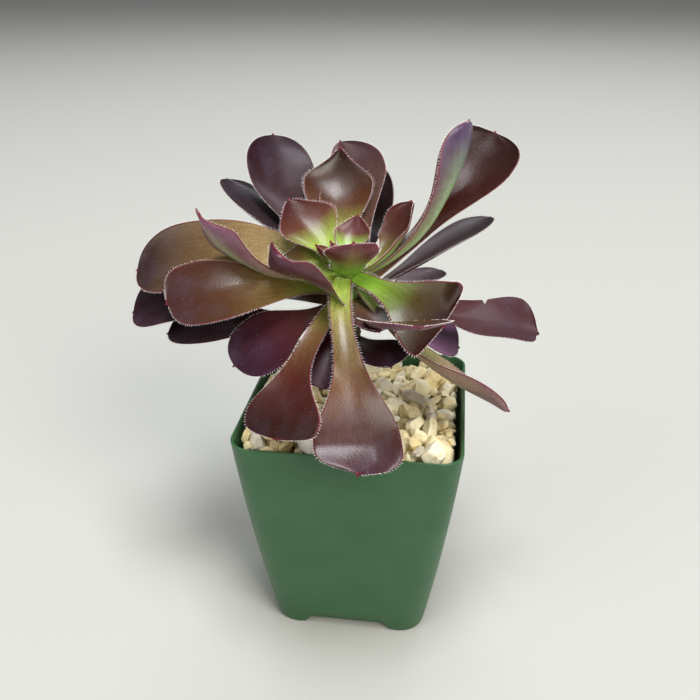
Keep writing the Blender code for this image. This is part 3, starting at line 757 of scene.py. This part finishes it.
def leaf_cuticle(name, roughness, gleam, coat, edge_code, speckle):
    """Living leaf skin: streaked pigment, freckles, a waxy bloom that is partly a painted sheen, a thin
    crimson margin and dust.
    """
    made, tree, shader = new_material(name, IOR=1.45, Coat_Weight=coat, Coat_Roughness=0.16,
                                      Specular_IOR_Level=gleam)
    color = add(tree, "Attribute", attribute_name="pigment").outputs["Color"]
    place = add(tree, "Attribute", attribute_name="leaf_mm").outputs["Vector"]
    margin = add(tree, "Attribute", attribute_name="leaf_margin").outputs["Fac"]
    bloom_and_sheen = add(tree, "Attribute", attribute_name="leaf_bloom_and_sheen").outputs["Fac"]
    # Streaks run along the leaf, about 5 mm long and 1 mm wide.
    lay = add(tree, "Mapping", {"Vector": place, "Scale": (0.2, 0.9, 1.0)})
    streak = add(tree, "TexNoise", {"Vector": lay, "Scale": 1.0, "Detail": 5.0})
    share = add(tree, "MapRange", {"Value": streak, "From Min": 0.4, "From Max": 0.64, "To Max": speckle})
    streaked = add(tree, "MixRGB", {"Fac": share, "Color1": color, "Color2": linear("C0A48E")},
                   blend_type="MULTIPLY")
    # Freckles of brown-red past the foot, about 1 mm long and 0.6 mm wide.
    fine = add(tree, "Mapping", {"Vector": place, "Scale": (1.0, 1.7, 1.0)})
    dots = add(tree, "TexNoise", {"Vector": fine, "Scale": 1.0, "Detail": 2.0})
    dot = add(tree, "MapRange", {"Value": dots, "From Min": 0.52, "From Max": 0.64, "To Max": speckle})
    run = add(tree, "SeparateXYZ", {"Vector": place})
    past_foot = add(tree, "MapRange", {"Value": run, "From Min": 5.0, "From Max": 20.0})
    ripe = add(tree, "Math", {0: dot, 1: past_foot}, operation="MULTIPLY")
    freckled = add(tree, "MixRGB", {"Fac": ripe, "Color1": streaked, "Color2": linear("542219")})
    # Bloom: a thin bluish wax tint, partly a painted bluish sheen, in soft patches about 9 mm across.
    wide = add(tree, "Mapping", {"Vector": place, "Scale": (0.11, 0.13, 1.0)})
    cloud = add(tree, "TexNoise", {"Vector": wide, "Scale": 1.0, "Detail": 5.0})
    bloom_sheen_patches = add(tree, "MapRange", {"Value": cloud, "From Min": 0.42, "From Max": 0.72, "To Max": 0.22})
    amount = add(tree, "Math", {0: bloom_sheen_patches, 1: bloom_and_sheen}, operation="MULTIPLY")
    bloom_sheen_tinted = add(tree, "MixRGB", {"Fac": amount, "Color1": freckled, "Color2": linear("5C5874")})
    # The margin: a crimson line under half a millimetre wide.
    rim = add(tree, "MapRange", {"Value": margin, "From Min": 0.1, "From Max": 0.42, "To Min": 0.8,
                                 "To Max": 0.0})
    edged = add(tree, "MixRGB", {"Fac": rim, "Color1": bloom_sheen_tinted, "Color2": linear(edge_code)})
    # Dust: sparse pale specks about 0.3 mm across.
    grit = add(tree, "TexVoronoi", {"Vector": place, "Scale": 0.35}, feature="F1")
    speck = add(tree, "MapRange", {"Value": grit, "From Min": 0.04, "From Max": 0.08, "To Min": 0.35,
                                   "To Max": 0.0})
    dusty = add(tree, "MixRGB", {"Fac": speck, "Color1": edged, "Color2": linear("A7A2AE")})
    satin = add(tree, "MapRange", {"Value": cloud, "From Min": 0.3, "From Max": 0.7,
                                   "To Min": roughness - 0.06, "To Max": roughness + 0.08})
    cells = add(tree, "TexNoise", {"Vector": place, "Scale": 1.4, "Detail": 3.0})
    skin = add(tree, "Bump", {"Height": cells, "Strength": 0.22, "Distance": 0.3 * MM})
    wire(tree, shader, Base_Color=dusty, Roughness=satin, Normal=skin)
    return made


# Leaf hairs: clear stiff bristles that read as a white fringe against the dark blade.
hair_skin, tree, shader = new_material("white_leaf_hair", Base_Color=linear("F2EEEA"), Roughness=0.5)

# Young cuticle: fresh and smooth, with little bloom and little painted sheen.
young_skin = leaf_cuticle("young_leaf_cuticle", 0.31, 0.38, 0.14, "7C1C34", 0.3)
YOUNG = dict(upper=("93C63C", "8FAE40", "6E4428", "50201E"), under=("8CC03E", "82A244", "663C34", "50222C"),
             rib=("8EC444", "8CB84C", "7C7440", "66363C"), bloom_and_sheen=0.3)
young_leaves = {
    "leaf_inner_left": dict(
        heading=148, height=152.6, reach=29, tip=175.5, width=26, lift=10, droop=-10, roll=-20, cup=35,
        cup_tip=30, belly=0.6, neck=0.28, ogee=0.5, off_stem=3.7,
        upper=("98CA3C", "98B048", "5C3222", "3E1414")),
    "leaf_bud_back": dict(
        heading=80, height=153.7, reach=16.5, tip=170, width=15.3, lift=10, droop=-10, cup=45,
        cup_tip=35, off_stem=2.8, belly=0.55, neck=0.4, ogee=0.5,
        upper=("96C83E", "9CC858", "643C34", "541E2A")),
    "leaf_bud_front": dict(
        heading=292, height=153.6, reach=12.5, tip=168.3, width=21, lift=-20, droop=-50, cup=35,
        off_stem=3.3, belly=0.56, neck=0.65, blunt=3.2, cup_tip=25, roll=-6, lobe=2, lobe_at=0.85),
    "leaf_bud_left": dict(
        heading=188, height=153.6, reach=11, tip=163, width=8, lift=10, droop=0, cup=40, cup_tip=40,
        off_stem=2.8, belly=0.55, neck=0.5, ogee=0.3),
    "leaf_bud_small": dict(
        heading=150, height=154, reach=7, tip=163, width=5, lift=10, droop=0, cup=40, cup_tip=30,
        off_stem=2.2, belly=0.55, neck=0.5, ogee=0.3),
    "leaf_inner_right": dict(
        heading=51, height=152.3, reach=36, tip=173, width=18, lift=-25, droop=-20, cup=50, cup_tip=45,
        off_stem=3.9, side=-30, side_end=-15, roll=-15, upper=("90BC3E", "70682E", "4C2818", "48221C"),
        wave=0.8),
    "leaf_right_front": dict(
        heading=329, height=151, reach=46, tip=141.5, width=30, lift=5, droop=5, roll=30, cup=25,
        cup_tip=10, belly=0.88, blunt=6, fill=1.4, twist=20,
        upper=("84B43C", "6C8A28", "443A14", "280C06"), bloom_and_sheen=0.1, lobe=2, lobe_at=0.9, end_lift=1),
}
grow(young_leaves, YOUNG, young_skin, 1)

# ---------------------------------------------------------------------------
# Grown leaves. The long spoons that spread from the rosette, olive brown over a green stalk and dark red
# to purple at the round end, with a green band down the back.
# ---------------------------------------------------------------------------
# Grown cuticle: as smooth as the young one, freckled more, with a bluish bloom and painted sheen towards the
# end.
grown_skin = leaf_cuticle("grown_leaf_cuticle", 0.31, 0.4, 0.12, "6E1A30", 0.4)
GROWN = dict(upper=("8AA544", "6C5A2C", "4A2C1A", "381A1A"), under=("8CB058", "7C6450", "6E3E48", "5A3048"),
             rib=("A0C470", "A0BE78", "96A472", "70505C"), bloom_and_sheen=0.5)
grown_leaves = {
    # The front centre leaf takes a strong bloom: bluish patches at its end, a painted sheen.
    "leaf_front_centre": dict(
        heading=281, height=151.3, reach=57, tip=100, width=30, lift=32, droop=25, side=-14, side_end=24,
        cup=25, cup_tip=-5, belly=0.86, neck=0.26, fill=2.5, blunt=4.2,
        upper=("A4C054", "8A7E4C", "6E4C34", "4A2A30"), end_lift=9, wave=0.9, lobe=2.6, lobe_at=0.93,
        bloom_and_sheen=1.1),
    "leaf_front_left": dict(
        heading=251, height=142, reach=56, tip=107, width=34, lift=25, droop=20, side_end=-10, cup=25,
        cup_tip=0, belly=0.87, fill=2.9, blunt=4, neck=0.24,
        upper=("8E9444", "6E5430", "4C1C10", "280806"), bloom_and_sheen=0.3, roll=5, twist=8),
    "leaf_left": dict(
        heading=192, height=146.5, reach=70, tip=140.3, width=31, lift=8, droop=20, roll=-31.8,
        belly=0.76, neck=0.24, fill=1, shift=0.12, upper=("8EA440", "6C5A2E", "4C3018", "3C1E1A"),
        blunt=3.6, skew=0.1),
    # The left back leaf's middle colours are lightened into a painted highlight.
    "leaf_left_back": dict(
        heading=174, height=151.6, reach=89, tip=144.5, width=34, lift=13, droop=15, roll=-36,
        belly=0.66, neck=0.5, fill=0.8, blunt=3.4, upper=("AABE5C", "A08A5C", "6E5634", "2E1E1C"),
        side=-5, notch=0.7, notch_at=0.33, notch_wide=15),
    # The left horned leaf's underside and green band are lightened, partly a painted highlight.
    "leaf_left_horned": dict(
        heading=184.5, height=149.5, reach=56, tip=176, width=24, lift=-34, droop=-45, roll=5, twist=50,
        belly=0.7, ogee=1, fill=1.6, under=("B0D080", "B4A08C", "8E6474", "6E4860"),
        rib=("BCDC8C", "C0D8A0", "B4C494", "8C6C78")),
    "leaf_left_small": dict(
        heading=212, height=151.7, reach=29, tip=168, width=37, lift=-35, droop=-60, roll=-25, twist=80,
        cup=30, belly=0.25, ogee=0.9, shift=-0.3, neck=1, under=("86A84C", "6A4446", "5A3040", "4A2638"),
        rib=("8AB04C", "80804E", "5E3842", "4A2638"), wave=0.8),
    "leaf_back_inner": dict(
        heading=100, height=150.4, reach=62, tip=186, width=31, side=8, side_end=15, lift=-16, droop=-46,
        cup=28, cup_tip=25, neck=0.24, belly=0.76, ogee=0.75, blunt=2.6,
        upper=("AACA62", "98A044", "502E14", "220E04"), bloom_and_sheen=0.05),
    "leaf_back_second": dict(
        heading=100, height=146.5, reach=78, tip=185.5, width=26, side=-26, lift=-6, droop=-28, roll=-15,
        cup=35, cup_tip=35, shift=-0.55, upper=("7A7A44", "6A5040", "5E463C", "4E3038")),
    "leaf_right_tall_spoon": dict(
        heading=48, height=144.2, reach=82, tip=194.5, width=34, lift=-10, droop=-20, side=-6, cup=30,
        cup_tip=35, belly=0.84, blunt=3.4, fill=2.1, twist=28,
        upper=("76603A", "6C3C20", "3A1006", "260A06"), bloom_and_sheen=0),
    "leaf_right_tall_narrow": dict(
        heading=38, height=149.6, reach=55, tip=204, width=24, lift=-42, droop=-40, roll=-20, twist=-45,
        cup=35, cup_tip=40, belly=0.78, blunt=3, fill=1.2,
        under=("8CB450", "7E8058", "684058", "503C60"), rib=("A8D060", "B4D898", "A0C48C", "5E5070"),
        rib_width=0.6),
    "leaf_front_right_brown": dict(
        heading=305, height=142, reach=26, tip=137, width=22, lift=5, droop=10, roll=-10,
        upper=("6A5834", "5A4030", "4A3028", "402428"), neck=0.5),
    "leaf_front_level": dict(
        heading=293.5, height=132, reach=77, tip=163, width=28.6, lift=0, droop=0, side=10, roll=-7,
        cup=20, cup_tip=14, belly=0.78, fill=2, under=("7C7050", "6C5058", "76505E", "6A4456"),
        rib=("7C7050", "6C5058", "76505E", "6A4456")),
    "leaf_front_right_folded": dict(
        heading=337, height=147.7, reach=70, tip=111, width=24, side=-10, lift=-12, droop=-14, twist=-42,
        cup=25, cup_tip=32, under=("B0CC68", "A8A068", "A08878", "907070"),
        rib=("98BC58", "8A9A66", "7E8060", "60343C"), upper=("A4C45C", "9CA860", "9C8C70", "8C6C6C")),
}
grow(grown_leaves, GROWN, grown_skin, 21)

# ---------------------------------------------------------------------------
# Old leaves. The lowest and outermost ones, nearly black and duller than the rest.
# ---------------------------------------------------------------------------
# Old cuticle: deep purple-black, rougher, with a dry satin and more bloom and painted sheen.
old_skin = leaf_cuticle("old_leaf_cuticle", 0.36, 0.18, 0.05, "4C1626", 0.3)
OLD = dict(upper=("4E3424", "381A18", "2C1418", "28141E"), under=("4A3830", "3A2028", "33202A", "2E2030"),
           rib=("4A3C30", "3E282C", "33202A", "2E2030"), bloom_and_sheen=0.6)
old_leaves = {
    "leaf_left_dark_high": dict(
        heading=178, height=139.2, reach=91, tip=128, width=29, lift=18, droop=18, roll=-28, blunt=3.4),
    "leaf_left_dark_low": dict(
        heading=185, height=131.5, reach=74, tip=124, width=26, lift=2, droop=10, roll=-15),
    "leaf_front_left_dark": dict(
        heading=211, height=138.5, reach=48, tip=120.5, width=30, lift=8, droop=20, roll=-18, belly=0.66,
        blunt=2.7, upper=("5E4436", "4A2426", "3C1A24", "34202E"), shift=0.2),
    # The back dark leaf's near black is partly its old colour, partly painted shade.
    "leaf_back_dark": dict(
        heading=88, height=140.5, reach=77, tip=175.5, width=20, lift=-12, droop=-32,
        upper=("20100C", "1A0C0C", "160A0C", "160C0E"), bloom_and_sheen=0.1),
    "leaf_back_left_dark": dict(
        heading=122.5, height=145.7, reach=78, tip=190, width=30, side=6, side_end=12, lift=-2,
        droop=-24, blunt=3),
    "leaf_back_left_low": dict(
        heading=141, height=143.4, reach=76, tip=174, width=24, lift=5, droop=-5, roll=15, blunt=3,
        upper=("3A2A2A", "2E2020", "281A1E", "221A20")),
    "leaf_right_dark": dict(
        heading=47, height=140, reach=81, tip=158, width=20, lift=0, droop=0, roll=-8,
        upper=("4E3E3A", "48302E", "40282C", "362428")),
    "leaf_right_small_dark": dict(
        heading=51, height=135.5, reach=56, tip=138, width=16, lift=0, droop=0,
        upper=("6A5050", "684A50", "5E444C", "503640")),
    "leaf_right_far": dict(
        heading=4, height=142, reach=75.5, tip=128, width=31, lift=0, droop=0, belly=0.84, blunt=3,
        shift=0.15, roll=8, upper=("5A4038", "502E30", "48282C", "402226"), notch=0.22, notch_at=0.7,
        notch_wide=0.5, skew=-0.06, wave=0.9),
    # The right low leaf's purple is lightened into a painted sheen, against the shade of the leaves above it.
    "leaf_right_low": dict(
        heading=8, height=137, reach=45, tip=119, width=27, lift=10, droop=10, roll=15,
        upper=("7A5058", "7C5874", "80587A", "7C5878")),
    "leaf_front_right_low": dict(
        heading=308, height=125.5, reach=30, tip=123.5, width=22, lift=10, droop=30),
    "leaf_front_low": dict(
        heading=262, height=136.5, reach=36, tip=119, width=24, lift=20, droop=0,
        upper=("4A2A22", "48181F", "42121E", "3C1220")),
}
grow(old_leaves, OLD, old_skin, 41)

# ---------------------------------------------------------------------------
# Studio. A plain pale floor under an overhead softbox, a strip behind, a fill from each side of the front,
# and a pale surround. The camera looks down on the plant from the front.
# ---------------------------------------------------------------------------
floor_mesh = bpy.data.meshes.new("studio_floor")
FLOOR_REACH = 8.0
floor_corners = [(x * FLOOR_REACH, y * FLOOR_REACH, 0) for x, y in ((-1, -1), (1, -1), (1, 1), (-1, 1))]
floor_mesh.from_pydata(floor_corners, [], [(0, 1, 2, 3)])
floor = put("studio_floor", floor_mesh)
# Matt paper: even and pale.
paper, tree, shader = new_material("matt_paper_floor", Base_Color=linear("B8B8B2"), Roughness=0.9)
floor_mesh.materials.append(paper)

world = bpy.data.worlds.new("pale_surround")
bpy.context.scene.world = world
world.use_nodes = True
world.node_tree.nodes["Background"].inputs["Color"].default_value = linear("EEF0F4")
world.node_tree.nodes["Background"].inputs["Strength"].default_value = 0.24


def softbox(name, place, aim, size, power, code):
    lamp = bpy.data.lights.new(name, "AREA")
    lamp.shape = "RECTANGLE"
    lamp.size, lamp.size_y = size
    lamp.energy = power
    lamp.color = linear(code)[:3]
    made = put(name, lamp)
    made.location = place
    made.rotation_euler = (Vector(aim) - Vector(place)).to_track_quat("-Z", "Y").to_euler()


middle = (0.0, 0.0, 0.13)
softbox("overhead_softbox", (0.3, -0.45, 2.8), middle, (1.1, 1.1), 72.0, "F8FBFF")
softbox("back_strip", (0.1, 1.9, 2.1), middle, (1.8, 0.5), 22.0, "F4F8FF")
softbox("left_fill", (-2.5, -2.2, 1.9), middle, (2.0, 2.0), 36.0, "FFFAF0")
softbox("right_fill", (2.0, -2.2, 2.2), middle, (1.8, 1.8), 94.0, "FFFAF0")

CAMERA_DISTANCE = 331.2
CAMERA_AZIMUTH = 7.55
CAMERA_ELEVATION = 26.6
CAMERA_AIM = (-4.22, 8.36, 113.6)
camera_data = bpy.data.cameras.new("camera")
camera_data.sensor_width = 36.0
camera_data.lens = 40.94
camera = put("camera", camera_data)
azimuth, elevation = math.radians(CAMERA_AZIMUTH), math.radians(CAMERA_ELEVATION)
level = math.cos(elevation)
back = Vector((math.sin(azimuth) * level, -math.cos(azimuth) * level, math.sin(elevation)))
aim = Vector(np.array(CAMERA_AIM) * MM + AXIS)
camera.location = aim + back * CAMERA_DISTANCE * MM
camera.rotation_euler = back.to_track_quat("Z", "Y").to_euler()
bpy.context.scene.camera = camera
bpy.context.scene.view_settings.view_transform = "Standard"
